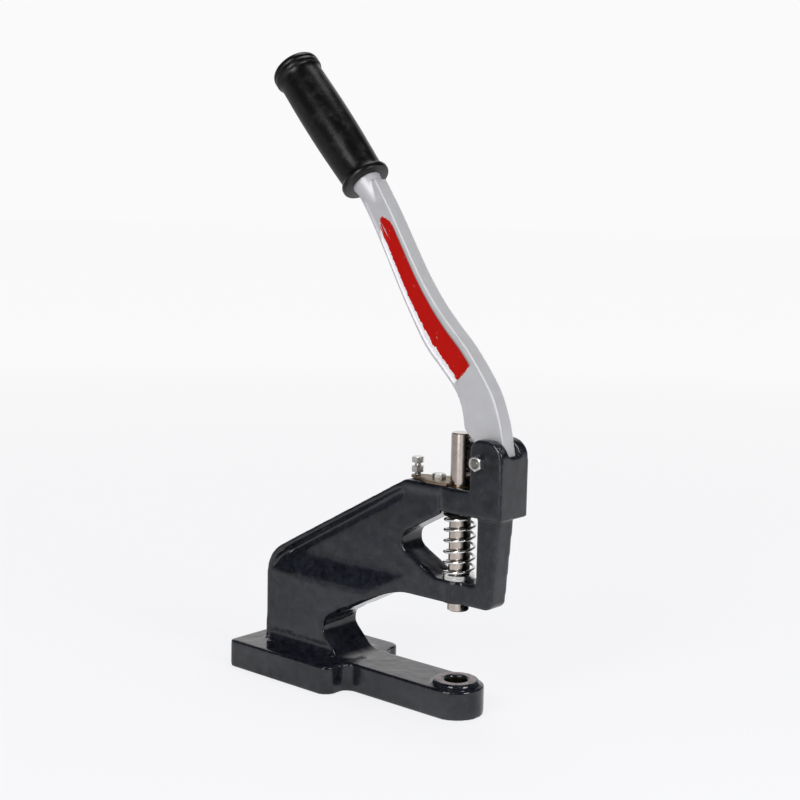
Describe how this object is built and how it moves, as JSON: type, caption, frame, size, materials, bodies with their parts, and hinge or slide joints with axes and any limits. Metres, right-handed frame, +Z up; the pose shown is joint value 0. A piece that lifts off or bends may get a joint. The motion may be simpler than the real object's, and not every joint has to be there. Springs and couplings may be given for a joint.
{
  "type": "hand-lever eyelet press",
  "caption": "Bench press for eyelets: a cast C-frame on a flat base, a sprung ram with a die bore, and a long geared hand lever with a rubber grip.",
  "frame": {"origin": "centre of the lower die bore on the base's underside, which is also the ram's axis", "axes": "+Z up along the ram's axis, +X forward along the base towards the operator's side of the fork, +Y across the base"},
  "size_m": [0.248, 0.087, 0.4889],
  "materials": {
    "frame_enamel": "cast iron under a thick, glossy, slightly lumpy blue-black enamel",
    "lever_paint": "silver aluminium paint, with a brushed-on red in the recessed side panels",
    "grip_rubber": "black moulded rubber, half gloss",
    "ram_steel": "turned steel with a film of oil",
    "zinc_steel": "bright zinc plate",
    "black_steel": "black oxide",
    "plate_steel": "sheared steel, oily and tanned",
    "bronze": "turned bearing bronze"
  },
  "bodies": {
    "frame": {"frame_casting": "frame_enamel", "upper_guide_bush": "bronze", "lower_guide_bush": "bronze", "lower_spring_washer": "zinc_steel", "return_spring": "zinc_steel", "pivot_bolt": "zinc_steel", "pivot_washer": "zinc_steel", "pivot_nut": "zinc_steel", "guide_plate": "plate_steel", "plate_bolt": "zinc_steel", "adjuster_screw": "zinc_steel", "adjuster_lock_nut": "zinc_steel"},
    "ram": {"ram": "ram_steel", "die_set_screw": "black_steel", "upper_spring_washer": "black_steel", "retaining_ring": "black_steel"},
    "lever": {"lever": "lever_paint", "pivot_bush": "bronze", "handle_grip": "grip_rubber"}
  },
  "joints": [
    {"name": "lever_pull", "type": "hinge", "parent": "frame", "child": "lever", "pos_m": [0.028, 0, 0.193], "axis": [0, -1, 0], "range_deg": [0, 36], "stiffness_Nm_per_rad": 2.63, "springref_deg": -30.54},
    {"name": "ram_slide", "type": "slide", "parent": "frame", "child": "ram", "axis": [0, 0, -1], "range_m": [0, 0.0142], "deforming": ["return_spring"]}
  ],
  "couplings": [
    {"joint": "ram_slide", "follows": "lever_pull", "m_per_rad": 0.0225}
  ]
}
